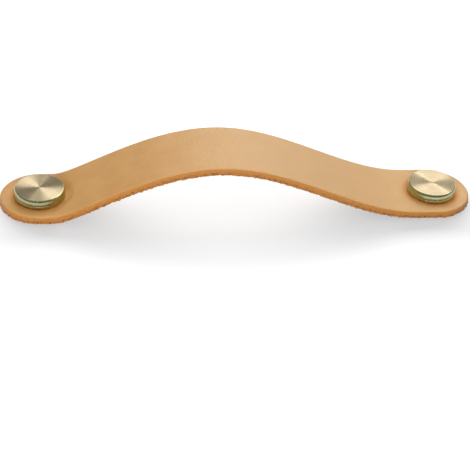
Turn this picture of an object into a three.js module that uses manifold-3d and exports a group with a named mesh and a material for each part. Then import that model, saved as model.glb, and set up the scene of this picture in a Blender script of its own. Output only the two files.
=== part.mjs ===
// A leather strap pull in its mounted form. A strap with full round ends arches between two
// spun brass heads. Each head has a boss that goes through a punched hole in the leather and
// takes a screw from behind the panel, so the screw draws the head, the leather and the panel
// together. Millimetres. X runs along the strap, +Z leaves the panel, and the origin lies on
// the panel's face, midway between the two holes.

import * as THREE from "three";
import { mergeVertices, toCreasedNormals } from "three/addons/utils/BufferGeometryUtils.js";
import Module from "manifold-3d";

// Strap
const holePitch = 128;
const strapWidth = 25;
const strapThickness = 2.5;
const shoulderRadius = 0.6; // the rounded edge of the grain side
const fleshBevel = 0.2; // the broken edge of the flesh side

// Arch, measured on the leather's mid-surface
const archRise = 17.4;
const crownShift = -7.5; // the crown leans towards the left head
const landReach = 7; // flat leather from each hole to where the strap lifts
const leftToeHandle = 8; // the left foot bends sharply
const rightToeHandle = 21; // the right foot sweeps out gently
const crownHandle = 23;

// Seat that each head presses into the leather
const seatDepth = 0.35;

// Head
const headDiameter = 16.2;
const headHeight = 3.3;
const headBevel = 0.55; // width of the bright ring round the face
const headBevelDrop = 0.4;
const headFootBevel = 0.25;
const bossDiameter = 7;
const bossLength = 1.6;
const bossBevel = 0.3;
const tappedDepth = 3.7;
const drillPoint = THREE.MathUtils.degToRad(59); // half angle of the drill

// Screw
const screwDiameter = 4;
const screwLength = 22;
const panelThickness = 18;
const screwHeadDiameter = 8;
const screwHeadHeight = 3.1;
const screwHeadRim = 1.1; // straight side of the pan head, below its crown
const screwTipBevel = 0.5;
const recessSpan = 4.6; // across the cross recess at the head's top
const recessFloorSpan = 1.8;
const recessDepth = 2.2;
const recessBlade = 1;

// Clearances
const seatGap = 0.05; // head on leather
const seatMargin = 0.2; // head in its pressed seat, all round
const bossGap = 0.2; // boss in the punched hole, all round
const threadGap = 0.1; // screw in the tapped hole, all round

// Smoothness
const bendStep = 1.5; // length of leather between two cross lines of the arch
const endSteps = 14; // per quarter turn of a strap end
const shoulderSteps = 4;
const headSegments = 72;
const screwSegments = 40;

const wasm = await Module();
wasm.setup();

function solidOf(geometry) {
  const bare = geometry.clone();
  bare.deleteAttribute("normal");
  bare.deleteAttribute("uv");
  const merged = mergeVertices(bare, 1e-5);
  const mesh = new wasm.Mesh({
    numProp: 3,
    vertProperties: merged.attributes.position.array,
    triVerts: new Uint32Array(merged.index.array),
  });
  return new wasm.Manifold(mesh);
}

function geometryOf(solid) {
  const mesh = solid.getMesh();
  const geometry = new THREE.BufferGeometry();
  geometry.setAttribute("position", new THREE.BufferAttribute(mesh.vertProperties, 3));
  geometry.setIndex(new THREE.BufferAttribute(mesh.triVerts, 1));
  return geometry;
}

// A solid turned about Z from [radius, height] points that run up the outside.
function turned(points, segments) {
  const profile = points.map(([radius, height]) => new THREE.Vector2(radius, height));
  return new THREE.LatheGeometry(profile, segments).rotateX(Math.PI / 2);
}

// The skin between closed rings that hold the same number of points. A ring may close up to a
// line, as at a strap's tip, and the triangles that vanish there are left out.
function loft(rings) {
  const count = rings[0].length;
  const corners = [];
  const addTriangle = (a, b, c) => {
    if (a.distanceTo(b) > 1e-6 && b.distanceTo(c) > 1e-6 && c.distanceTo(a) > 1e-6) {
      corners.push(a, b, c);
    }
  };
  for (let row = 0; row + 1 < rings.length; row += 1) {
    for (let i = 0; i < count; i += 1) {
      const next = (i + 1) % count;
      addTriangle(rings[row][i], rings[row + 1][next], rings[row + 1][i]);
      addTriangle(rings[row][i], rings[row][next], rings[row + 1][next]);
    }
  }
  return new THREE.BufferGeometry().setFromPoints(corners);
}

// Strap

const holeX = holePitch / 2;
const endRadius = strapWidth / 2;
const toeX = holeX - landReach;

// The leather's mid-surface seen from the side, as (x, z), from the left tip to the right one.
function centreLine() {
  const at = (x, z) => new THREE.Vector2(x, z + strapThickness / 2);
  const line = new THREE.CurvePath();
  line.add(new THREE.LineCurve(at(-holeX - endRadius, 0), at(-toeX, 0)));
  line.add(
    new THREE.CubicBezierCurve(
      at(-toeX, 0),
      at(-toeX + leftToeHandle, 0),
      at(crownShift - crownHandle, archRise),
      at(crownShift, archRise),
    ),
  );
  line.add(
    new THREE.CubicBezierCurve(
      at(crownShift, archRise),
      at(crownShift + crownHandle, archRise),
      at(toeX - rightToeHandle, 0),
      at(toeX, 0),
    ),
  );
  line.add(new THREE.LineCurve(at(toeX, 0), at(holeX + endRadius, 0)));
  return line;
}

// The cross lines of the flat blank: where each one's centre lies along the leather, and the
// angle at which it meets the outline, which turns from -90 to 90 degrees over the two ends.
function stations(length) {
  const list = [];
  const quarter = Math.PI / 2;
  for (let i = 0; i < endSteps; i += 1) {
    list.push({ along: endRadius, angle: -quarter * (1 - i / endSteps) });
  }
  const straight = length - 2 * endRadius;
  const bends = Math.ceil(straight / bendStep);
  for (let i = 0; i <= bends; i += 1) {
    list.push({ along: endRadius + (straight * i) / bends, angle: 0 });
  }
  for (let i = 1; i <= endSteps; i += 1) {
    list.push({ along: length - endRadius, angle: (quarter * i) / endSteps });
  }
  return list;
}

// The edge of the blank from the grain side down: how far it is set in, and its height over
// the mid-surface.
function edgeSection() {
  const half = strapThickness / 2;
  const edge = [];
  for (let i = 0; i <= shoulderSteps; i += 1) {
    const turn = ((Math.PI / 2) * i) / shoulderSteps;
    edge.push({
      inset: shoulderRadius * (1 - Math.sin(turn)),
      height: half - shoulderRadius * (1 - Math.cos(turn)),
    });
  }
  edge.push({ inset: 0, height: fleshBevel - half });
  edge.push({ inset: fleshBevel, height: -half });
  return edge;
}

// The blank, bent along the centre line so that every cross line stays square to it.
function bentBlank() {
  const line = centreLine();
  const length = line.getLength();
  const edge = edgeSection();
  const bend = (along, across, height) => {
    const t = THREE.MathUtils.clamp(along / length, 0, 1);
    const point = line.getPoint(t);
    const tangent = line.getTangent(t);
    return new THREE.Vector3(
      point.x - tangent.y * height,
      across,
      point.y + tangent.x * height,
    );
  };
  const rings = stations(length).map(({ along, angle }) => {
    const side = (sign) =>
      edge.map(({ inset, height }) => {
        const reach = endRadius - inset;
        const across = sign * reach * Math.cos(angle);
        return bend(along + reach * Math.sin(angle), across, height);
      });
    return [...side(-1), ...side(1).reverse()];
  });
  return loft(rings);
}

const headRadius = headDiameter / 2;
const bossRadius = bossDiameter / 2;
const seatZ = strapThickness - seatDepth;

// What is missing from the leather at one end: the punched hole, and the round seat that the
// head has pressed into it, also where the strap already lifts under the head's inner rim.
function punchAndSeat() {
  const punchRadius = bossRadius + bossGap;
  const seatRadius = headRadius + seatMargin;
  const over = 1;
  return solidOf(
    turned(
      [
        [0, -over],
        [punchRadius, -over],
        [punchRadius, seatZ],
        [seatRadius, seatZ],
        [seatRadius, strapThickness + over],
        [0, strapThickness + over],
      ],
      headSegments,
    ),
  );
}

function strapGeometry() {
  let leather = solidOf(bentBlank());
  const cutter = punchAndSeat();
  for (const x of [-holeX, holeX]) {
    leather = leather.subtract(cutter.translate([x, 0, 0]));
  }
  return geometryOf(leather);
}

// Head: a spun disc with a bright bevel, on a boss with a blind tapped hole.

const tappedRadius = screwDiameter / 2 + threadGap;

function headGeometry() {
  const foot = seatZ + seatGap;
  const top = foot + headHeight;
  const bossEnd = foot - bossLength;
  const tappedEnd = bossEnd + tappedDepth;
  return turned(
    [
      [0, tappedEnd + tappedRadius / Math.tan(drillPoint)],
      [tappedRadius, tappedEnd],
      [tappedRadius, bossEnd],
      [bossRadius - bossBevel, bossEnd],
      [bossRadius, bossEnd + bossBevel],
      [bossRadius, foot],
      [headRadius - headFootBevel, foot],
      [headRadius, foot + headFootBevel],
      [headRadius, top - headBevelDrop],
      [headRadius - headBevel, top],
      [0, top],
    ],
    headSegments,
  );
}

// Screw: a pan head behind the panel and a shank that reaches into the head's tapped hole.

function crossRecess() {
  const bottom = -panelThickness - screwHeadHeight;
  const over = 0.5;
  const splay = (recessSpan - recessFloorSpan) / 2 / recessDepth;
  const blade = new THREE.Shape([
    new THREE.Vector2(-recessSpan / 2 - splay * over, bottom - over),
    new THREE.Vector2(recessSpan / 2 + splay * over, bottom - over),
    new THREE.Vector2(recessFloorSpan / 2, bottom + recessDepth),
    new THREE.Vector2(-recessFloorSpan / 2, bottom + recessDepth),
  ]);
  const wing = new THREE.ExtrudeGeometry(blade, { depth: recessBlade, bevelEnabled: false });
  wing.translate(0, 0, -recessBlade / 2).rotateX(Math.PI / 2);
  const other = wing.clone().rotateZ(Math.PI / 2);
  return solidOf(wing).add(solidOf(other));
}

function screwGeometry() {
  const radius = screwDiameter / 2;
  const headTop = -panelThickness;
  const bottom = headTop - screwHeadHeight;
  const tip = headTop + screwLength;
  const crown = screwHeadHeight - screwHeadRim;
  const profile = [[0, bottom]];
  const crownSteps = 6;
  for (let i = 1; i <= crownSteps; i += 1) {
    const turn = ((Math.PI / 2) * i) / crownSteps;
    profile.push([
      screwHeadDiameter / 2 - crown * (1 - Math.sin(turn)),
      bottom + crown * (1 - Math.cos(turn)),
    ]);
  }
  profile.push(
    [screwHeadDiameter / 2, headTop],
    [radius, headTop],
    [radius, tip - screwTipBevel],
    [radius - screwTipBevel, tip],
    [0, tip],
  );
  const body = solidOf(turned(profile, screwSegments));
  return geometryOf(body.subtract(crossRecess()));
}

// Assembly

const leatherTan = new THREE.MeshStandardMaterial({
  color: 0xc8965d,
  roughness: 0.62,
  metalness: 0,
});
const spunBrass = new THREE.MeshStandardMaterial({
  color: 0xc9b991,
  roughness: 0.32,
  metalness: 1,
});
const zincSteel = new THREE.MeshStandardMaterial({
  color: 0xaeb2b5,
  roughness: 0.38,
  metalness: 1,
});

function named(name, geometry, material) {
  const mesh = new THREE.Mesh(toCreasedNormals(geometry, Math.PI / 6), material);
  mesh.name = name;
  return mesh;
}

const pull = new THREE.Group();
pull.name = "leather_strap_pull";
pull.add(named("strap", strapGeometry(), leatherTan));
for (const [side, x] of [
  ["left", -holeX],
  ["right", holeX],
]) {
  const fastening = new THREE.Group();
  fastening.position.x = x;
  fastening.add(named(`${side}_head`, headGeometry(), spunBrass));
  fastening.add(named(`${side}_screw`, screwGeometry(), zincSteel));
  pull.add(fastening);
}

export default pull;
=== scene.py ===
import math
import random

import bmesh
import bpy
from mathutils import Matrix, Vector


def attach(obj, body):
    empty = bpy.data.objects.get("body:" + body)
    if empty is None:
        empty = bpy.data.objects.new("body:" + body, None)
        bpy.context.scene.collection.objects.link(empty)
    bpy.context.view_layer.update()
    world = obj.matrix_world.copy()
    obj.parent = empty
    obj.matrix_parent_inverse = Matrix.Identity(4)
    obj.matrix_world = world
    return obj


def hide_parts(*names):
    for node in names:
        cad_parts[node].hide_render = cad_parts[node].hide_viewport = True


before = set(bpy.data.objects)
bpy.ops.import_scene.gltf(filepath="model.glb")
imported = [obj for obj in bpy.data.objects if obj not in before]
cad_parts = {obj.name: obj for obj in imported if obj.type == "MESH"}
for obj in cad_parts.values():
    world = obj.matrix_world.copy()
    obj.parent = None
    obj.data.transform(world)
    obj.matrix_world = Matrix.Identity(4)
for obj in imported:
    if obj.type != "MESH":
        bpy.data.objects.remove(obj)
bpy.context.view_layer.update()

mm = 0.001
holeX = 64 * mm  # both holes, heads and screws stand this far from the middle
mergeGap = 0.002 * mm
planeGap = 0.001 * mm
random.seed(7)


# small helpers for working as by hand
def deselectAll():
    if bpy.context.object and bpy.context.object.mode != "OBJECT":
        bpy.ops.object.mode_set(mode="OBJECT")
    bpy.ops.object.select_all(action="DESELECT")


def takeUp(piece):  # the only selected object, and the active one
    deselectAll()
    piece.select_set(True)
    bpy.context.view_layer.objects.active = piece


def named(name):  # the primitive that was just added
    piece = bpy.context.object
    piece.name = name
    piece.data.name = name
    return piece


def edit(kind="VERT"):
    bpy.ops.object.mode_set(mode="EDIT")
    bpy.ops.mesh.select_mode(type=kind)


def pick(test, kind="VERT"):  # selects what passes the test, by its place
    mesh = bmesh.from_edit_mesh(bpy.context.object.data)
    for sort in (mesh.verts, mesh.edges, mesh.faces):
        for part in sort:
            part.select_set(False)
    mesh.select_mode = {kind}
    bpy.context.tool_settings.mesh_select_mode = (kind == "VERT", kind == "EDGE", kind == "FACE")
    for part in {"VERT": mesh.verts, "EDGE": mesh.edges, "FACE": mesh.faces}[kind]:
        if test(part):
            part.select_set(True)
    mesh.select_flush_mode()
    bmesh.update_edit_mesh(bpy.context.object.data)


def middle(part):  # of an edge or a face
    return sum((v.co for v in part.verts), Vector()) / len(part.verts)


def modify(piece, kind, **settings):  # adds a modifier and sets it
    takeUp(piece)
    bpy.ops.object.modifier_add(type=kind)
    for key, value in settings.items():
        setattr(piece.modifiers[-1], key, value)


def applyAll(piece):
    takeUp(piece)
    for modifier in list(piece.modifiers):
        bpy.ops.object.modifier_apply(modifier=modifier.name)


def cut(piece, tool, how):  # a boolean with a tool that is used up
    modify(piece, "BOOLEAN", object=tool, operation=how, solver="EXACT")
    applyAll(piece)
    bpy.data.objects.remove(tool)


def facesOutward(piece):
    takeUp(piece)
    edit()
    bpy.ops.mesh.select_all(action="SELECT")
    bpy.ops.mesh.normals_make_consistent(inside=False)
    bpy.ops.object.mode_set(mode="OBJECT")


def smooth(piece, degrees):
    takeUp(piece)
    bpy.ops.object.shade_smooth_by_angle(angle=math.radians(degrees))


def shift(piece, x):  # its mesh is moved, and its object stays at the origin
    takeUp(piece)
    edit()
    bpy.ops.mesh.select_all(action="SELECT")
    bpy.ops.transform.translate(value=(x, 0, 0))
    bpy.ops.object.mode_set(mode="OBJECT")


def copyOf(piece, name):
    takeUp(piece)
    bpy.ops.object.duplicate(linked=False)
    return named(name)


# the camera stands at the photograph's angle
camera = {
    "place": (-51.27 * mm, -320.75 * mm, 222.46 * mm),
    "turn": (53.7837, -3.4926, -6.4655),
    "lens": 92.48,
    "sensor": 36,
    "clip": (0.01, 20),
}


def setCamera():
    bpy.ops.object.camera_add(
        location=camera["place"], rotation=[math.radians(a) for a in camera["turn"]]
    )
    eye = bpy.context.object
    eye.data.lens = camera["lens"]
    eye.data.sensor_width = camera["sensor"]
    eye.data.clip_start, eye.data.clip_end = camera["clip"]
    bpy.context.scene.camera = eye


deselectAll()
setCamera()
bpy.context.scene.view_settings.view_transform = "Standard"
print("camera set")


# the strap is a die-cut leather blank, bent into its arch
strap = {
    "length": 159.05 * mm,
    "width": 25 * mm,
    "thickness": 2.5 * mm,
    "quarterSteps": 36,
    "straightSteps": (4, 84),
    "shoulder": 0.6 * mm,
    "shoulderSteps": 5,
    "fleshBevel": 0.2 * mm,
    "edgeLines": 6,
    # mid-line of the arch as (x, z), with the reach of its handles
    "tip": 76.5 * mm,
    "leftToe": 60 * mm,
    "rightToe": 57 * mm,
    "leftToeHandle": 8 * mm,
    "rightToeHandle": 21 * mm,
    "crown": (-7.5 * mm, 17.4 * mm),
    "crownHandle": 23 * mm,
    "lineSteps": 96,
    "holeRadius": 3.7 * mm,
    "holeSides": 72,
    "punchLength": 8 * mm,
    "pressFrom": 1.9 * mm,
    "pressRadius": 8.25 * mm,
    "pressTo": 2.2 * mm,
    "pressFade": 3.2 * mm,
    "smoothAngle": 50,
    # group, size, strength and level of each roughening
    "fibres": (
        ("fleshFibre", 0.5 * mm, 1.1 * mm, 0.42),
        ("cutFibre", 0.5 * mm, 0.95 * mm, 0.44),
        ("cutFibre", 3 * mm, 0.4 * mm, 0.45),
        ("grainSkin", 7 * mm, 0.10 * mm, 0.55),
    ),
    "nearFace": 0.95,  # of half the thickness: what lies beyond is on a face
    "fibreDepth": 3,
    "fibreRise": (0.4 * mm, 1.9 * mm),  # no fibres below, all of them above
    "fleshShare": 0.25,  # of the fibres at the rim, on the flesh side's middle
    "rim": 0.97,
    "cutRim": 0.98,
    "cutRise": (0.5, 1.1),  # of half the thickness: where the cut's fibres start, and their rise
    "holeRim": 0.3 * mm,
    # shares of the shoulder and of the flesh bevel where the materials change
    "grainShare": 0.4,
    "fleshEdgeShare": 0.8,
}


def cutBlank():
    half = strap["length"] / 2
    radius = strap["width"] / 2
    deselectAll()
    bpy.ops.mesh.primitive_plane_add(size=1)
    blank = named("strapLeather")
    edit()
    bpy.ops.transform.resize(value=(strap["length"], strap["width"], 1))
    bpy.ops.transform.translate(value=(0, 0, strap["thickness"] / 2))
    # the four corners rounded until each end is a half circle
    bpy.ops.mesh.bevel(
        offset=radius, offset_type="OFFSET", segments=strap["quarterSteps"],
        profile=0.5, affect="VERTICES", clamp_overlap=False,
    )
    bpy.ops.mesh.select_all(action="SELECT")
    bpy.ops.mesh.remove_doubles(threshold=mergeGap)
    # the two straight sides in even steps, on the bare outline
    straight = half - radius
    bpy.ops.mesh.delete(type="ONLY_FACE")
    pick(lambda e: e.calc_length() > straight, "EDGE")
    for steps in strap["straightSteps"]:
        bpy.ops.mesh.subdivide(number_cuts=steps - 1)
    bpy.ops.mesh.select_all(action="SELECT")
    bpy.ops.mesh.edge_face_add()
    # thickness, the rounded shoulder of the grain side and the broken flesh edge
    bpy.ops.mesh.extrude_region_move(
        TRANSFORM_OT_translate={"value": (0, 0, -strap["thickness"])}
    )
    bpy.ops.mesh.select_all(action="SELECT")
    bpy.ops.mesh.normals_make_consistent(inside=False)
    top = strap["thickness"] / 2
    near = top * strap["nearFace"]
    pick(lambda e: all(v.co.z > near for v in e.verts), "EDGE")
    bpy.ops.mesh.bevel(
        offset=strap["shoulder"], offset_type="OFFSET", segments=strap["shoulderSteps"],
        profile=0.5, affect="EDGES", clamp_overlap=False,
    )
    pick(lambda e: all(v.co.z < -near for v in e.verts), "EDGE")
    bpy.ops.mesh.bevel(
        offset=strap["fleshBevel"], offset_type="OFFSET", segments=1,
        affect="EDGES", clamp_overlap=False,
    )
    # lines along the cut edge, for its fibres
    upper = top - strap["shoulder"]
    lower = -top + strap["fleshBevel"]
    lines = strap["edgeLines"]
    for i in range(1, lines):
        bpy.ops.mesh.select_all(action="SELECT")
        bpy.ops.mesh.bisect(
            plane_co=(0, 0, upper + (lower - upper) * i / lines), plane_no=(0, 0, 1),
            threshold=planeGap,
        )
    # both large faces as a grid that runs across the strap
    for height in (top, -top):
        pick(lambda f: len(f.verts) > 100 and abs(middle(f).z - height) < 0.1 * mm, "FACE")
        bpy.ops.mesh.delete(type="ONLY_FACE")
        inset = strap["shoulder"] if height > 0 else strap["fleshBevel"]
        reach = math.sin(math.radians(45)) * (radius - inset)

        def onEndArc(e, height=height, reach=reach):
            place = middle(e)
            return (
                e.is_boundary and abs(place.z - height) < 0.01 * mm
                and abs(place.y) < reach and abs(place.x) > straight
            )

        pick(onEndArc, "EDGE")
        bpy.ops.mesh.fill_grid(use_interp_simple=False)
    bpy.ops.mesh.select_all(action="SELECT")
    bpy.ops.mesh.normals_make_consistent(inside=False)
    bpy.ops.object.mode_set(mode="OBJECT")
    return blank


def keepFlatPlace(piece):  # where each point lay in the blank, for the patterns
    place = [c for v in piece.data.vertices for c in v.co]
    flat = piece.data.attributes.new("flatPlace", "FLOAT_VECTOR", "POINT")
    flat.data.foreach_set("vector", place)


def archLine():
    deselectAll()
    bpy.ops.curve.primitive_bezier_curve_add()
    line = named("archLine")
    line.data.dimensions = "3D"
    line.data.twist_mode = "Z_UP"
    line.data.resolution_u = strap["lineSteps"]
    spline = line.data.splines[0]
    spline.bezier_points.add(3)
    lift = strap["thickness"] / 2
    tip, left, right = strap["tip"], strap["leftToe"], strap["rightToe"]
    crownX, rise = strap["crown"]
    leftLand, rightLand = (tip - left) / 3, (tip - right) / 3
    stops = [
        (-tip, 0, leftLand, leftLand),
        (-left, 0, leftLand, strap["leftToeHandle"]),
        (crownX, rise, strap["crownHandle"], strap["crownHandle"]),
        (right, 0, strap["rightToeHandle"], rightLand),
        (tip, 0, rightLand, rightLand),
    ]
    for point, (x, z, before, after) in zip(spline.bezier_points, stops):
        point.handle_left_type = point.handle_right_type = "FREE"
        point.co = (x, 0, z + lift)
        point.handle_left = (x - before, 0, z + lift)
        point.handle_right = (x + after, 0, z + lift)
    return line


def bendBlank(blank):
    takeUp(blank)
    edit()
    bpy.ops.mesh.select_all(action="SELECT")
    bpy.ops.transform.translate(value=(strap["length"] / 2, 0, 0))
    bpy.ops.object.mode_set(mode="OBJECT")
    line = archLine()
    modify(blank, "CURVE", object=line, deform_axis="POS_X")
    applyAll(blank)
    bpy.data.objects.remove(line)


def pressSeats(blank):  # each head has sunk a round seat into the grain side
    takeUp(blank)
    for x in (-holeX, holeX):
        edit()
        pick(
            lambda v: v.co.z > strap["pressFrom"] and v.normal.z > 0.5
            and math.hypot(v.co.x - x, v.co.y) < strap["pressRadius"]
        )
        bpy.ops.transform.resize(
            value=(1, 1, 0), center_override=(x, 0, strap["pressTo"]),
            use_proportional_edit=True, use_proportional_connected=True,
            proportional_edit_falloff="SMOOTH", proportional_size=strap["pressFade"],
        )
        bpy.ops.object.mode_set(mode="OBJECT")


def punchHoles(blank):
    for x in (-holeX, holeX):
        deselectAll()
        bpy.ops.mesh.primitive_cylinder_add(
            vertices=strap["holeSides"], radius=strap["holeRadius"],
            depth=strap["punchLength"], location=(x, 0, 0),
        )
        cut(blank, named("punch"), "DIFFERENCE")


def roughenCut(blank):  # loose fibres on the cut edge and the flesh side, in the geometry
    takeUp(blank)
    flat = [tuple(p.vector) for p in blank.data.attributes["flatPlace"].data]
    low = blank.vertex_groups.new(name="fleshFibre")
    sides = blank.vertex_groups.new(name="cutFibre")
    skin = blank.vertex_groups.new(name="grainSkin")
    top = strap["thickness"] / 2
    reach = strap["width"] / 2
    centre = strap["length"] / 2 - reach
    near = top * strap["nearFace"]
    bare, full = strap["fibreRise"]
    start, rise = (top * share for share in strap["cutRise"])
    for v in blank.data.vertices:
        x, y, z = flat[v.index]
        out = math.hypot(max(abs(x) - centre, 0), y) / reach
        if math.hypot(abs(v.co.x) - holeX, v.co.y) < strap["holeRadius"] + strap["holeRim"]:
            continue
        raised = min(1, max(0, (v.co.z - bare) / (full - bare)))
        if z < -near:
            share = 1 if out > strap["rim"] else strap["fleshShare"]
            low.add([v.index], raised * share, "REPLACE")
        elif z < start and out > strap["cutRim"]:
            sides.add([v.index], min(1, (start - z) / rise), "REPLACE")
        elif z > near:
            skin.add([v.index], 1, "REPLACE")
    for group, size, strength, level in strap["fibres"]:
        cloud = bpy.data.textures.new(group, "CLOUDS")
        cloud.noise_scale = size
        cloud.noise_depth = strap["fibreDepth"]
        modify(
            blank, "DISPLACE", texture=cloud, texture_coords="LOCAL", vertex_group=group,
            strength=strength, mid_level=level,
        )
    applyAll(blank)


blank = cutBlank()
keepFlatPlace(blank)
print("blank cut:", len(blank.data.polygons), "faces")
bendBlank(blank)
pressSeats(blank)
punchHoles(blank)
roughenCut(blank)
smooth(blank, strap["smoothAngle"])
print("strap made:", len(blank.data.polygons), "faces")


# the heads are turned brass, one made and one copied
head = {
    "segments": 192,
    "foot": 2.2 * mm,
    "top": 5.5 * mm,
    "radius": 8.1 * mm,
    "faceRadius": 7.52 * mm,
    "firstLine": 0.25 * mm,
    "lineStep": 0.12 * mm,
    "lineDepth": (0.002 * mm, 0.007 * mm),
    # chamfer, two rounded bands and the groove between: how far in and how far down, in mm
    "side": (
        (0.58, 0), (0.54, 0.012), (0.47, 0.06), (0.34, 0.24), (0.30, 0.31), (0.25, 0.42),
        (0.18, 0.60), (0.12, 0.80), (0.07, 1.02), (0.03, 1.26), (0.01, 1.48), (0, 1.66),
        (0.02, 1.78), (0.09, 1.86), (0.12, 1.92), (0.09, 2.0), (0.04, 2.12), (0.01, 2.3),
        (0, 2.5), (0.01, 2.7), (0.04, 2.86), (0.1, 2.98), (0.13, 3.04), (0.11, 3.1),
        (0.08, 3.16), (0.09, 3.24),
    ),
    "footBevel": 0.25 * mm,
    "bossRadius": 3.5 * mm,
    "bossEnd": 0.6 * mm,
    "boreRadius": 2.1 * mm,
    "boreEnd": 4.3 * mm,
    "bevel": 0.3 * mm,  # at the ends of the boss and of its bore
    "boreInner": 0.4 * mm,
    "smoothAngle": 24,
    "facePlay": 0.012 * mm,  # how deep the rings of the face may lie
}


def turn(name, profile, segments, x):  # a turned piece, ring by ring from pole to pole
    deselectAll()
    radius, height = profile[0]
    bpy.ops.mesh.primitive_circle_add(
        vertices=segments, radius=radius, fill_type="TRIFAN", location=(0, 0, 0)
    )
    piece = named(name)
    edit()
    bpy.ops.transform.translate(value=(x, 0, height))
    pick(lambda e: e.is_boundary, "EDGE")
    for nextRadius, nextHeight in profile[1:]:
        bpy.ops.mesh.extrude_edges_move(
            TRANSFORM_OT_translate={"value": (0, 0, nextHeight - height)}
        )
        if nextRadius:
            scale = nextRadius / radius
            bpy.ops.transform.resize(value=(scale, scale, 1), center_override=(x, 0, 0))
        else:
            bpy.ops.mesh.merge(type="CENTER")
        radius, height = nextRadius, nextHeight
    bpy.ops.object.mode_set(mode="OBJECT")
    facesOutward(piece)
    return piece


def headProfile():
    r, top, foot, bevel = head["radius"], head["top"], head["foot"], head["bevel"]
    points = [(head["firstLine"], top)]
    at = head["firstLine"] + head["lineStep"]
    sunk = True
    while at < head["faceRadius"] - head["lineStep"]:
        points.append((at, top - (random.uniform(*head["lineDepth"]) if sunk else 0)))
        sunk = not sunk
        at += head["lineStep"]
    for inward, down in head["side"]:
        points.append((r - inward * mm, top - down * mm))
    points += [
        (r - head["footBevel"], foot),
        (head["bossRadius"], foot),
        (head["bossRadius"], head["bossEnd"] + bevel),
        (head["bossRadius"] - bevel, head["bossEnd"]),
        (head["boreRadius"], head["bossEnd"]),
        (head["boreRadius"], head["boreEnd"] - bevel),
        (head["boreRadius"] - bevel, head["boreEnd"]),
        (head["boreInner"], head["boreEnd"]),
        (0, head["boreEnd"]),
    ]
    return points


leftHead = turn("leftHead", headProfile(), head["segments"], -holeX)
smooth(leftHead, head["smoothAngle"])
rightHead = copyOf(leftHead, "rightHead")
shift(rightHead, 2 * holeX)
print("heads made:", len(leftHead.data.polygons), "faces each")


# the screws: threaded shank, pan head and cross recess
screw = {
    "root": 1.58 * mm,
    "crest": 1.99 * mm,
    "pitch": 0.7 * mm,
    "turns": 35,
    "turnSteps": 40,
    # one turn's outline: how far out in shares of the thread's depth, up in shares of the pitch
    "outline": (
        (0.02, 0.05), (0.5, 0.2), (0.46, 0.21), (0.02, 0.04), (-0.02, 0.04), (-0.46, 0.21),
        (-0.5, 0.2), (-0.02, 0.05),
    ),
    "runOut": 1.1 * mm,  # thread below the panel's back, inside the head
    "trim": (0.3 * mm, 0.2 * mm),  # the sweep is cut this far past the panel's back and the tip
    "envelopeGap": 0.01 * mm,
    "envelopeBelow": 0.4 * mm,
    "segments": 64,
    "firstRing": 0.3 * mm,
    "lastRing": 1.2 * mm,
    "tip": 4.0 * mm,
    "tipBevel": 0.5 * mm,
    "panelBack": -18 * mm,
    "headHeight": 3.1 * mm,
    "headRim": 1.1 * mm,
    "headRadius": 4 * mm,
    "headFlat": 0.1 * mm,
    "headEdge": 0.08 * mm,
    "crownSteps": 10,
    "recessSpan": 4.6 * mm,
    "recessFloor": 1.8 * mm,
    "recessDepth": 2.2 * mm,
    "recessBlade": 1.0 * mm,
    "recessTaper": 0.8,
    "recessTurns": (15, 105),
    "bladeOver": 0.5 * mm,
    "smoothAngle": 32,
}


def threadedShank():
    deselectAll()
    bpy.ops.mesh.primitive_plane_add(size=1 * mm)
    shank = named("shank")
    edit()
    bpy.ops.mesh.merge(type="CENTER")
    bottom = screw["panelBack"] - screw["runOut"]
    bpy.ops.transform.translate(value=(screw["root"], 0, bottom))
    lift = screw["crest"] - screw["root"]
    for out, up in screw["outline"]:
        bpy.ops.mesh.extrude_vertices_move(
            TRANSFORM_OT_translate={"value": (out * lift, 0, up * screw["pitch"])}
        )
    bpy.ops.object.mode_set(mode="OBJECT")
    modify(
        shank, "SCREW", axis="Z", screw_offset=screw["pitch"], iterations=screw["turns"],
        steps=screw["turnSteps"], render_steps=screw["turnSteps"], use_merge_vertices=True,
        merge_threshold=planeGap,
    )
    applyAll(shank)
    edit()
    bpy.ops.mesh.select_all(action="SELECT")
    bpy.ops.mesh.remove_doubles(threshold=mergeGap)
    below, above = screw["trim"]
    for height, inner in ((screw["panelBack"] - below, True), (screw["tip"] + above, False)):
        bpy.ops.mesh.select_all(action="SELECT")
        bpy.ops.mesh.bisect(
            plane_co=(0, 0, height), plane_no=(0, 0, 1), use_fill=True,
            clear_inner=inner, clear_outer=not inner, threshold=planeGap,
        )
    bpy.ops.object.mode_set(mode="OBJECT")
    facesOutward(shank)
    return shank


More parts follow.
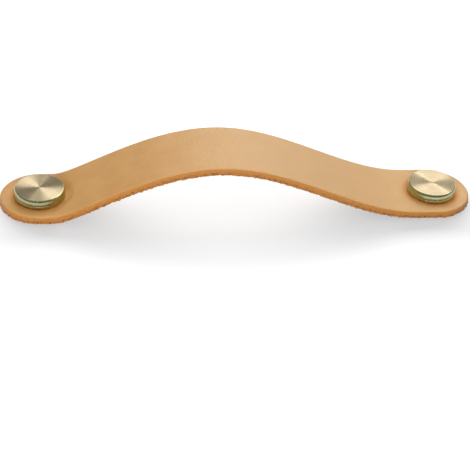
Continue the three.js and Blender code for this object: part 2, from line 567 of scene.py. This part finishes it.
def screwHead():
    back = screw["panelBack"]
    bottom = back - screw["headHeight"]
    crown = screw["headHeight"] - screw["headRim"]
    wide = screw["headRadius"]
    edge = screw["headEdge"]
    profile = [(screw["firstRing"], bottom), (wide - crown - screw["headFlat"], bottom)]
    for i in range(1, screw["crownSteps"] + 1):
        a = math.pi / 2 * i / screw["crownSteps"]
        profile.append((wide - crown * (1 - math.sin(a)), bottom + crown * (1 - math.cos(a))))
    profile += [
        (wide, back - edge), (wide - edge, back), (screw["lastRing"], back), (0, back)
    ]
    made = turn("panHead", profile, screw["segments"], 0)
    # the cross recess: two tapered blades
    over = screw["bladeOver"]
    for angle in screw["recessTurns"]:
        deselectAll()
        bpy.ops.mesh.primitive_cube_add(size=1)
        blade = named("blade")
        edit()
        depth = screw["recessDepth"] + over
        bpy.ops.transform.resize(value=(screw["recessSpan"], screw["recessBlade"], depth))
        bpy.ops.transform.translate(value=(0, 0, bottom - over + depth / 2))
        pick(lambda v: v.co.z > bottom)
        taper = (screw["recessFloor"] / screw["recessSpan"], screw["recessTaper"], 1)
        bpy.ops.transform.resize(value=taper, center_override=(0, 0, 0))
        bpy.ops.mesh.select_all(action="SELECT")
        bpy.ops.transform.rotate(
            value=math.radians(angle), orient_axis="Z", center_override=(0, 0, 0)
        )
        bpy.ops.object.mode_set(mode="OBJECT")
        cut(made, blade, "DIFFERENCE")
    return made


def makeScrew():
    shank = threadedShank()
    wide = screw["crest"] + screw["envelopeGap"]
    end, bevel = screw["tip"], screw["tipBevel"]
    low = screw["panelBack"] - screw["envelopeBelow"]
    envelope = turn("envelope", [
        (screw["firstRing"], end), (wide - bevel, end), (wide, end - bevel), (wide, low),
        (0, low),
    ], screw["segments"], 0)
    cut(shank, envelope, "INTERSECT")
    piece = screwHead()
    cut(piece, shank, "UNION")
    smooth(piece, screw["smoothAngle"])
    return piece


leftScrew = makeScrew()
leftScrew.name = leftScrew.data.name = "leftScrew"
rightScrew = copyOf(leftScrew, "rightScrew")
shift(leftScrew, -holeX)
shift(rightScrew, holeX)
print("screws made:", len(leftScrew.data.polygons), "faces each")


def tint(red, green, blue):  # screen colour to the renderer's own
    def linear(c):
        c /= 255
        return c / 12.92 if c <= 0.04045 else ((c + 0.055) / 1.055) ** 2.4
    return (linear(red), linear(green), linear(blue), 1)


def feed(tree, made, inputs):  # each input is linked or set
    for key, value in inputs.items():
        if isinstance(value, bpy.types.NodeSocket):
            tree.links.new(value, made.inputs[key])
        else:
            made.inputs[key].default_value = value
    return made


def node(tree, kind, inputs=None, **settings):
    made = tree.nodes.new("ShaderNode" + kind)
    for key, value in settings.items():
        setattr(made, key, value)
    return feed(tree, made, inputs or {})


def maths(tree, operation, a, b=0.0, c=0.0):
    return node(tree, "Math", {0: a, 1: b, 2: c}, operation=operation).outputs[0]


def vector(tree, operation, a, b=(0, 0, 0)):
    return node(tree, "VectorMath", {0: a, 1: b}, operation=operation).outputs[0]


def ramp(tree, value, low, high, toLow=0.0, toHigh=1.0):  # smooth step between two values
    return node(
        tree, "MapRange",
        {"Value": value, "From Min": low, "From Max": high, "To Min": toLow, "To Max": toHigh},
        interpolation_type="SMOOTHSTEP",
    ).outputs[0]


def blend(tree, factor, a, b):
    return node(tree, "Mix", {0: factor, 6: a, 7: b}, data_type="RGBA").outputs[2]


def noise(tree, place, scale, detail, **more):  # a pattern's value, 0 to 1
    inputs = {"Vector": place, "Scale": scale, "Detail": detail}
    inputs.update({key.capitalize(): value for key, value in more.items()})
    return node(tree, "TexNoise", inputs).outputs["Fac"]


def ringNoise(tree, distance, step, detail, **more):  # a pattern along one line
    inputs = {"W": maths(tree, "DIVIDE", distance, step), "Scale": 1.0, "Detail": detail}
    inputs.update({key.capitalize(): value for key, value in more.items()})
    return node(tree, "TexNoise", inputs, noise_dimensions="1D").outputs["Fac"]


def startMaterial(name, plain):
    made = bpy.data.materials.new(name)
    made.use_nodes = True
    tree = made.node_tree
    shader = tree.nodes["Principled BSDF"]
    for socket, value in plain.items():
        shader.inputs[socket].default_value = value
    return made, tree, shader


def finishMaterial(tree, shader, color, rough, height, bump):  # bump: strength and distance
    tree.links.new(color, shader.inputs["Base Color"])
    tree.links.new(rough, shader.inputs["Roughness"])
    relief = node(tree, "Bump", {"Height": height, "Strength": bump[0], "Distance": bump[1]})
    tree.links.new(relief.outputs[0], shader.inputs["Normal"])


def useGroup(tree, group, inputs):
    return node(tree, "Group", inputs, node_tree=group)


def startGroup(name, takes, gives):
    group = bpy.data.node_groups.new(name, "ShaderNodeTree")
    for side, sockets in (("INPUT", takes), ("OUTPUT", gives)):
        for label, kind in sockets:
            group.interface.new_socket(
                name=label, in_out=side, socket_type="NodeSocket" + kind
            )
    taken = group.nodes.new("NodeGroupInput").outputs
    given = group.nodes.new("NodeGroupOutput").inputs
    return group, taken, given


def hideGrainGroup():  # the pebbled grain and the fine creases of leather
    group, take, give = startGroup(
        "hideGrain",
        [("Place", "Vector"), ("Pebble Size", "Float"), ("Crease Size", "Float"),
         ("Crease Amount", "Float")],
        [("Height", "Float"), ("Valley", "Float")],
    )
    warp = node(group, "TexNoise", {
        "Vector": take["Place"], "Scale": maths(group, "DIVIDE", 0.4, take["Pebble Size"]),
        "Detail": 2.0,
    })
    drift = vector(group, "SUBTRACT", warp.outputs["Color"], (0.5, 0.5, 0.5))
    scaled = node(group, "VectorMath", {0: drift, "Scale": take["Pebble Size"]}, operation="SCALE")
    place = vector(group, "ADD", take["Place"], scaled.outputs[0])
    pebble = node(group, "TexVoronoi", {
        "Vector": place, "Scale": maths(group, "DIVIDE", 1.0, take["Pebble Size"]),
    }, feature="DISTANCE_TO_EDGE")
    valley = ramp(group, pebble.outputs["Distance"], 0.0, 0.22, 1.0, 0.0)
    fine = noise(group, take["Place"], maths(group, "DIVIDE", 2.2, take["Pebble Size"]), 3.0)
    stretched = vector(group, "MULTIPLY", take["Place"], (1, 0.22, 1))
    crease = noise(group, stretched, maths(group, "DIVIDE", 1.0, take["Crease Size"]), 3.0,
                   distortion=0.6)
    creased = maths(group, "MULTIPLY", ramp(group, crease, 0.35, 0.65), take["Crease Amount"])
    height = maths(group, "MULTIPLY_ADD", fine, 0.5, maths(group, "SUBTRACT", creased, valley))
    group.links.new(height, give["Height"])
    group.links.new(valley, give["Valley"])
    return group


def mottleGroup():  # slow and quick drifts between two colours
    group, take, give = startGroup(
        "mottle",
        [("Place", "Vector"), ("Patch Size", "Float"), ("Light", "Color"), ("Dark", "Color"),
         ("Amount", "Float")],
        [("Color", "Color"), ("Mask", "Float")],
    )
    slow = noise(group, take["Place"], maths(group, "DIVIDE", 1.0, take["Patch Size"]), 4.0,
                 roughness=0.6)
    mask = maths(group, "MULTIPLY", ramp(group, slow, 0.3, 0.7), take["Amount"])
    group.links.new(blend(group, mask, take["Light"], take["Dark"]), give["Color"])
    group.links.new(mask, give["Mask"])
    return group


def handlingGroup():  # hair scratches and finger marks on metal
    group, take, give = startGroup(
        "handling",
        [("Place", "Vector"), ("Mark Size", "Float"), ("Low Roughness", "Float"),
         ("High Roughness", "Float")],
        [("Roughness", "Float"), ("Height", "Float"), ("Mask", "Float")],
    )
    smear = noise(group, take["Place"], maths(group, "DIVIDE", 1.0, take["Mark Size"]), 5.0,
                  roughness=0.65)
    mask = ramp(group, smear, 0.38, 0.66)
    spread = maths(group, "SUBTRACT", take["High Roughness"], take["Low Roughness"])
    rough = maths(group, "MULTIPLY_ADD", mask, spread, take["Low Roughness"])
    hair = noise(group, vector(group, "MULTIPLY", take["Place"], (1, 7, 3)),
                 maths(group, "DIVIDE", 1.5, take["Mark Size"]), 6.0)
    group.links.new(rough, give["Roughness"])
    group.links.new(hair, give["Height"])
    group.links.new(mask, give["Mask"])
    return group


hideGrain = hideGrainGroup()
mottle = mottleGroup()
handling = handlingGroup()

# colours, then each pattern's sizes, and its spans as ramps: low, high, share at each
leather = {
    "light": tint(209, 159, 92),
    "dark": tint(199, 146, 78),
    "paintedSheen": tint(225, 185, 132),
    # pressed and shaded: a deeper orange round each head, partly the pressed seat and partly
    # painted shade
    "pressed": tint(208, 134, 50),
    "burnished": tint(184, 122, 62),
    "patch": 9 * mm,
    "patchAmount": 0.8,
    "pebble": 0.42 * mm,
    "crease": 1.4 * mm,
    "creaseAmount": 0.5,
    "valleyAmount": 0.2,
    # painted sheen: paler on the crown and on the gentle slope right of it, as if lit from the
    # back right
    "climb": (-36 * mm, 2 * mm, 0.0, 0.62),
    "fall": (6 * mm, 58 * mm, 1.0, 0.8),
    # fine wrinkles across the strap, where the bend starts
    "wrinkle": 0.5 * mm,
    "wrinkleStretch": (1, 0.1, 0),
    "wrinkleStart": (-26 * mm, -14 * mm),
    "wrinkleEnd": (-6 * mm, 5 * mm, 1.0, 0.0),
    "wrinkleShare": (0.46, 0.62),
    "wrinkleAmount": 0.14,
    "wrinkleDepth": -0.7,
    "worn": (0.1 * mm, 0.5 * mm, 0.3, 0.0),
    # the ring of pressing and painted shade round each head
    "pressedRing": (8.4 * mm, 10.2 * mm, 0.85, 0.0),
    "rough": 0.5,
    "valleyRough": 0.16,
    "wornPolish": 0.08,
    "bump": (0.45, 0.05 * mm),
}


def flatPlace(tree):  # where a point lay in the blank
    return node(tree, "Attribute", attribute_name="flatPlace").outputs["Vector"]


def axesOf(tree, place):
    return node(tree, "SeparateXYZ", {0: place}).outputs


def edgeAndHole(tree, along, y):  # the way in from the outline, and out from a hole
    reach = strap["width"] / 2
    x = maths(tree, "SUBTRACT", maths(tree, "ABSOLUTE", along), strap["length"] / 2 - reach)

    def lengthOf(a, b):
        return maths(tree, "SQRT", maths(tree, "ADD", maths(tree, "MULTIPLY", a, a),
                                         maths(tree, "MULTIPLY", b, b)))

    edge = maths(tree, "SUBTRACT", reach, lengthOf(maths(tree, "MAXIMUM", x, 0.0), y))
    return edge, lengthOf(x, y)


def grainMaterial():
    made, tree, shader = startMaterial("grainLeather", {
        "Specular IOR Level": 0.42, "Sheen Weight": 0.06, "Sheen Roughness": 0.5,
    })
    place = flatPlace(tree)
    parts = axesOf(tree, place)
    along = parts[0]
    edge, hole = edgeAndHole(tree, along, parts[1])
    tone = useGroup(tree, mottle, {
        "Place": place, "Patch Size": leather["patch"], "Light": leather["light"],
        "Dark": leather["dark"], "Amount": leather["patchAmount"],
    })
    grain = useGroup(tree, hideGrain, {
        "Place": place, "Pebble Size": leather["pebble"], "Crease Size": leather["crease"],
        "Crease Amount": leather["creaseAmount"],
    })
    valley = grain.outputs["Valley"]
    # painted sheen: lighter base colour on the crown and the right slope
    paintedSheen = maths(tree, "MULTIPLY", ramp(tree, along, *leather["climb"]),
                    ramp(tree, along, *leather["fall"]))
    color = blend(tree, paintedSheen, tone.outputs["Color"], leather["paintedSheen"])
    color = blend(tree, maths(tree, "MULTIPLY", valley, leather["valleyAmount"]), color,
                  leather["burnished"])
    across = noise(tree, vector(tree, "MULTIPLY", place, leather["wrinkleStretch"]),
                   1 / leather["wrinkle"], 3.0, roughness=0.6)
    span = maths(tree, "MULTIPLY", ramp(tree, along, *leather["wrinkleStart"]),
                 ramp(tree, along, *leather["wrinkleEnd"]))
    wrinkled = maths(tree, "MULTIPLY", ramp(tree, across, *leather["wrinkleShare"]), span)
    color = blend(tree, maths(tree, "MULTIPLY", wrinkled, leather["wrinkleAmount"]), color,
                  leather["burnished"])
    worn = ramp(tree, edge, *leather["worn"])
    color = blend(tree, worn, color, leather["burnished"])
    # partly pressed leather, partly painted shade round the heads
    color = blend(tree, ramp(tree, hole, *leather["pressedRing"]), color, leather["pressed"])
    rough = maths(tree, "MULTIPLY_ADD", valley, leather["valleyRough"], leather["rough"])
    rough = maths(tree, "SUBTRACT", rough, maths(tree, "MULTIPLY", worn, leather["wornPolish"]))
    relief = maths(tree, "MULTIPLY_ADD", wrinkled, leather["wrinkleDepth"],
                   grain.outputs["Height"])
    finishMaterial(tree, shader, color, rough, relief, leather["bump"])
    return made


cutEdge = {
    "upper": tint(192, 134, 70),
    "lower": tint(182, 113, 40),
    "speck": tint(112, 74, 34),
    "strand": tint(214, 170, 118),
    "patch": 0.7 * mm,
    "patchAmount": 0.9,
    "driftScale": 900.0,
    "driftDepth": 1.2 * mm,
    "lowerHalf": (-0.55 * mm, 0.25 * mm, 1.0, 0.0),
    "strandScale": 3200.0,
    "strandStretch": (0.3, 0.3, 1.6),
    "strandShare": (0.5, 0.72, 0.0, 0.45),
    "speckScale": 1500.0,
    "speckShare": (0.5, 0.64, 0.0, 0.8),
    "rough": (0.3, 0.7, 0.72, 0.95),
    "bump": (0.6, 0.12 * mm),
}


def cutMaterial():
    made, tree, shader = startMaterial("cutEdge", {
        "Specular IOR Level": 0.25, "Sheen Weight": 0.15, "Sheen Roughness": 0.6,
    })
    place = flatPlace(tree)
    drift = noise(tree, place, cutEdge["driftScale"], 4.0)
    level = maths(tree, "MULTIPLY_ADD", maths(tree, "SUBTRACT", drift, 0.5),
                  cutEdge["driftDepth"], axesOf(tree, place)[2])
    lower = ramp(tree, level, *cutEdge["lowerHalf"])
    tone = useGroup(tree, mottle, {
        "Place": place, "Patch Size": cutEdge["patch"], "Light": cutEdge["upper"],
        "Dark": cutEdge["lower"], "Amount": cutEdge["patchAmount"],
    })
    color = blend(tree, lower, tone.outputs["Color"], cutEdge["lower"])
    strands = noise(tree, vector(tree, "MULTIPLY", place, cutEdge["strandStretch"]),
                    cutEdge["strandScale"], 5.0, roughness=0.7)
    color = blend(tree, ramp(tree, strands, *cutEdge["strandShare"]), color, cutEdge["strand"])
    # dark ends of loose fibres along the lower half
    ends = noise(tree, place, cutEdge["speckScale"], 3.0)
    speck = maths(tree, "MULTIPLY", ramp(tree, ends, *cutEdge["speckShare"]), lower)
    color = blend(tree, speck, color, cutEdge["speck"])
    finishMaterial(tree, shader, color, ramp(tree, strands, *cutEdge["rough"]), strands,
                   cutEdge["bump"])
    return made


flesh = {
    "light": tint(214, 170, 118),
    "dark": tint(188, 138, 84),
    "deep": tint(182, 113, 40),
    "patch": 2.4 * mm,
    "patchAmount": 0.9,
    "nap": 0.3 * mm,
    "napCrease": 0.8 * mm,
    "deepAmount": 0.4,
    "rough": (0.0, 1.0, 0.85, 0.98),
    "bump": (0.7, 0.1 * mm),
}


def fleshMaterial():
    made, tree, shader = startMaterial("fleshSuede", {
        "Specular IOR Level": 0.2, "Sheen Weight": 0.35, "Sheen Roughness": 0.7,
    })
    place = flatPlace(tree)
    tone = useGroup(tree, mottle, {
        "Place": place, "Patch Size": flesh["patch"], "Light": flesh["light"],
        "Dark": flesh["dark"], "Amount": flesh["patchAmount"],
    })
    nap = useGroup(tree, hideGrain, {
        "Place": place, "Pebble Size": flesh["nap"], "Crease Size": flesh["napCrease"],
        "Crease Amount": 1.0,
    })
    valley = nap.outputs["Valley"]
    color = blend(tree, maths(tree, "MULTIPLY", valley, flesh["deepAmount"]),
                  tone.outputs["Color"], flesh["deep"])
    finishMaterial(tree, shader, color, ramp(tree, valley, *flesh["rough"]),
                   nap.outputs["Height"], flesh["bump"])
    return made


brass = {
    "face": tint(222, 204, 170),
    "faceDark": tint(206, 186, 148),
    "faceBand": tint(168, 148, 114),
    "side": tint(206, 206, 164),
    "sideDark": tint(156, 158, 114),
    "ringStep": 0.06 * mm,
    "ringShare": (0.3, 0.7),
    "ringRough": 0.06,
    "bandStep": 0.45 * mm,
    "bandShare": (0.45, 0.7, 0.0, 0.4),
    "faceMark": 3 * mm,
    "faceRough": (0.34, 0.42),
    "faceBump": (0.25, 0.012 * mm),
    "sideStep": 0.16 * mm,
    "sideShare": (0.35, 0.65),
    "sideMark": 2 * mm,
    "sideRough": (0.2, 0.3),
    "sideBump": (0.3, 0.02 * mm),
}


def marksOn(tree, place, size, rough):
    return useGroup(tree, handling, {
        "Place": place, "Mark Size": size, "Low Roughness": rough[0],
        "High Roughness": rough[1],
    }).outputs


def faceMaterial(name, x):
    made, tree, shader = startMaterial(name, {
        "Metallic": 1.0, "Anisotropic": 0.95, "Anisotropic Rotation": 0.25,
    })
    place = node(tree, "TexCoord").outputs["Object"]  # measured from the head's own axis
    place = node(tree, "Mapping", {"Vector": place, "Location": (-x, 0, 0)}).outputs[0]
    flat = vector(tree, "MULTIPLY", place, (1, 1, 0))
    radius = node(tree, "VectorMath", {0: flat}, operation="LENGTH").outputs["Value"]
    rings = ringNoise(tree, radius, brass["ringStep"], 3.0, roughness=0.7)
    color = blend(tree, ramp(tree, rings, *brass["ringShare"]), brass["face"],
                  brass["faceDark"])
    # the tool's feed also left a few broader, darker rings
    bands = ringNoise(tree, radius, brass["bandStep"], 1.0)
    color = blend(tree, ramp(tree, bands, *brass["bandShare"]), color, brass["faceBand"])
    marks = marksOn(tree, place, brass["faceMark"], brass["faceRough"])
    rough = maths(tree, "MULTIPLY_ADD", rings, brass["ringRough"], marks["Roughness"])
    finishMaterial(tree, shader, color, rough, rings, brass["faceBump"])
    around = node(tree, "Tangent", direction_type="RADIAL", axis="Z")
    tree.links.new(around.outputs[0], shader.inputs["Tangent"])
    return made


def sideMaterial():
    made, tree, shader = startMaterial("polishedBrass", {"Metallic": 1.0})
    place = node(tree, "TexCoord").outputs["Object"]
    bands = ringNoise(tree, axesOf(tree, place)[2], brass["sideStep"], 3.0)
    color = blend(tree, ramp(tree, bands, *brass["sideShare"]), brass["side"],
                  brass["sideDark"])
    marks = marksOn(tree, place, brass["sideMark"], brass["sideRough"])
    finishMaterial(tree, shader, color, marks["Roughness"], bands, brass["sideBump"])
    return made


zinc = {
    "light": tint(190, 194, 198),
    "dark": tint(158, 164, 172),
    "patch": 1.6 * mm,
    "patchAmount": 0.8,
    "mark": 1.2 * mm,
    "rough": (0.24, 0.42),
    "bump": (0.3, 0.03 * mm),
}


def zincMaterial():
    made, tree, shader = startMaterial("zincSteel", {"Metallic": 1.0})
    place = node(tree, "TexCoord").outputs["Object"]
    tone = useGroup(tree, mottle, {
        "Place": place, "Patch Size": zinc["patch"], "Light": zinc["light"],
        "Dark": zinc["dark"], "Amount": zinc["patchAmount"],
    })
    marks = marksOn(tree, place, zinc["mark"], zinc["rough"])
    finishMaterial(tree, shader, tone.outputs["Color"], marks["Roughness"], marks["Height"],
                   zinc["bump"])
    return made


def dressStrap(piece):
    for stuff in (grainMaterial(), cutMaterial(), fleshMaterial()):
        piece.data.materials.append(stuff)
    flat = piece.data.attributes["flatPlace"].data
    top = strap["thickness"] / 2
    for face in piece.data.polygons:
        height = sum(flat[i].vector.z for i in face.vertices) / len(face.vertices)
        if height > top - strap["shoulder"] * strap["grainShare"]:
            face.material_index = 0
        elif height > -top + strap["fleshBevel"] * strap["fleshEdgeShare"]:
            face.material_index = 1
        else:
            face.material_index = 2


def dressHead(piece, x, side):
    piece.data.materials.append(side)
    piece.data.materials.append(faceMaterial(piece.name + "Face", x))
    for face in piece.data.polygons:
        centre = face.center
        onFace = centre.z > head["top"] - head["facePlay"] and face.normal.z > 0.5
        away = math.hypot(centre.x - x, centre.y)
        face.material_index = 1 if onFace and away < head["faceRadius"] else 0


dressStrap(blank)
polished = sideMaterial()
dressHead(leftHead, -holeX, polished)
dressHead(rightHead, holeX, polished)
zincSteel = zincMaterial()
for piece in (leftScrew, rightScrew):
    piece.data.materials.append(zincSteel)
print("materials set")


# floor, lamps and world
studio = {
    "floorSize": 6.0,
    "floorHeight": -0.02 * mm,
    "floorColor": (0.3, 0.3, 0.302, 1),
    # the floor's own glow rises with the distance, and more quickly to the front and back
    "floorLift": (0.48, 0.95),
    "floorNearFar": (0.12, 1.4),
    "frontLift": (0.48, 0.85),
    "frontNearFar": (0.018, 0.05),
    # the sky's strength by height, its dim front by depth and height, and from below
    "sky": (0.25, 0.9, 0.2, 0.5),
    "frontDim": 0.05,
    "frontDepth": (-0.75, 0.0, 1.0, 0.0),
    "frontHeight": (0.2, 0.5, 1.0, 0.0),
    "skyUnder": (-0.1, -0.02, 0.8, 0.0),
    "lamps": {
        # place, aimed at, width and depth, watts, pieces that it lights
        "leftPanel": ((0.11, 0.10, 0.2), (0.0, 0.0, 0.0), (0.36, 0.30), 0.9,
                      ("leftHead",)),
        "leftGlint": ((-0.171, 0.128, 0.47), (-0.064, 0.0, 0.0), (0.03, 0.03), 0.12,
                      ("leftHead",)),
        "rightPanel": ((0.068, 0.088, 0.233), (0.064, 0.0, 0.0), (0.36, 0.18), 0.52,
                       ("rightHead",)),
        "rightGlint": ((0.391, 0.072, 0.366), (0.064, 0.0, 0.0), (0.03, 0.03), 0.4,
                       ("rightHead",)),
        "rightFill": ((0.178, 0.318, 0.22), (0.064, 0.0, 0.0), (0.2, 0.2), 0.085,
                      ("rightHead",)),
        "topSoft": ((0.08, 0.05, 0.42), (0.0, 0.0, 0.0), (0.50, 0.36), 0.7,
                    ("strapLeather", "leftScrew", "rightScrew")),
        "frontFill": ((-0.14, -0.50, 0.13), (-0.02, 0.0, 0.0), (0.34, 0.20), 2.25,
                      ("strapLeather",)),
        "backKey": ((0.12, 0.58, 0.34), (0.0, 0.0, 0.0), (0.56, 0.36), 2.0,
                    ("strapLeather", "leftScrew", "rightScrew")),
        "floorKey": ((0.0, 0.90, 0.27), (0.0, 0.0, 0.0), (3.0, 0.25), 90, ("floor",)),
        "floorSoft": ((0.0, 0.90, 0.76), (0.0, 0.0, 0.0), (2.0, 1.2), 8, ("floor",)),
    },
}


def shownToEye(tree):  # 1 for camera, glossy and transmitted rays
    path = node(tree, "LightPath")
    seen = maths(tree, "MAXIMUM", path.outputs["Is Camera Ray"], path.outputs["Is Glossy Ray"])
    return maths(tree, "MAXIMUM", seen, path.outputs["Is Transmission Ray"])


def layFloor():
    deselectAll()
    bpy.ops.mesh.primitive_plane_add(
        size=studio["floorSize"], location=(0, 0, studio["floorHeight"])
    )
    floor = named("floor")
    made = bpy.data.materials.new("whitePanel")
    made.use_nodes = True
    tree = made.node_tree
    tree.nodes.clear()
    diffuse = node(tree, "BsdfDiffuse", {"Color": studio["floorColor"]})
    place = node(tree, "TexCoord").outputs["Object"]
    away = node(tree, "VectorMath", {0: place}, operation="LENGTH").outputs["Value"]
    front = maths(tree, "ABSOLUTE", axesOf(tree, place)[1])
    glow = maths(
        tree, "MAXIMUM", ramp(tree, away, *studio["floorNearFar"], *studio["floorLift"]),
        ramp(tree, front, *studio["frontNearFar"], *studio["frontLift"]),
    )
    lift = node(tree, "Emission", {
        "Color": (1, 1, 1, 1), "Strength": maths(tree, "MULTIPLY", shownToEye(tree), glow),
    })
    both = node(tree, "AddShader", {0: diffuse.outputs[0], 1: lift.outputs[0]})
    out = node(tree, "OutputMaterial", {0: both.outputs[0]})
    floor.data.materials.append(made)


def hangLamps():
    for name, (place, aim, size, watts, lit) in studio["lamps"].items():
        deselectAll()
        bpy.ops.object.light_add(type="AREA", location=place)
        lamp = bpy.context.object
        lamp.name = lamp.data.name = name
        lamp.data.shape = "RECTANGLE"
        lamp.data.size, lamp.data.size_y = size
        lamp.data.energy = watts
        lamp.visible_camera = False
        lamp.rotation_euler = (Vector(place) - Vector(aim)).to_track_quat("Z", "Y").to_euler()
        group = bpy.data.collections.new(name + "Lights")
        for piece in lit:
            group.objects.link(bpy.data.objects[piece])
        lamp.light_linking.receiver_collection = group


def setWorld():
    world = bpy.data.worlds.new("studioWorld")
    bpy.context.scene.world = world
    world.use_nodes = True
    tree = world.node_tree
    tree.nodes.clear()
    way = axesOf(tree, node(tree, "TexCoord").outputs["Generated"])
    strength = ramp(tree, way[2], *studio["sky"])
    under = ramp(tree, way[2], *studio["skyUnder"])
    front = maths(tree, "MULTIPLY", ramp(tree, way[1], *studio["frontDepth"]),
                  ramp(tree, way[2], *studio["frontHeight"]))
    strength = node(tree, "Mix", {0: front, 2: strength, 3: studio["frontDim"]}).outputs[0]
    strength = maths(tree, "MAXIMUM", strength, under)
    path = node(tree, "LightPath")
    seen = maths(tree, "MAXIMUM", path.outputs["Is Camera Ray"], strength)
    back = node(tree, "Background", {"Color": (1, 1, 1, 1), "Strength": seen})
    node(tree, "OutputWorld", {0: back.outputs[0]})


layFloor()
hangLamps()
setWorld()
print("studio set")


# what each piece stands for
for piece, nodeName, slot in (
    (blank, "strap", "leather"),
    (leftHead, "left_head", "brass"),
    (rightHead, "right_head", "brass"),
    (leftScrew, "left_screw", "screw_steel"),
    (rightScrew, "right_screw", "screw_steel"),
):
    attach(piece, "root")
    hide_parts(nodeName)
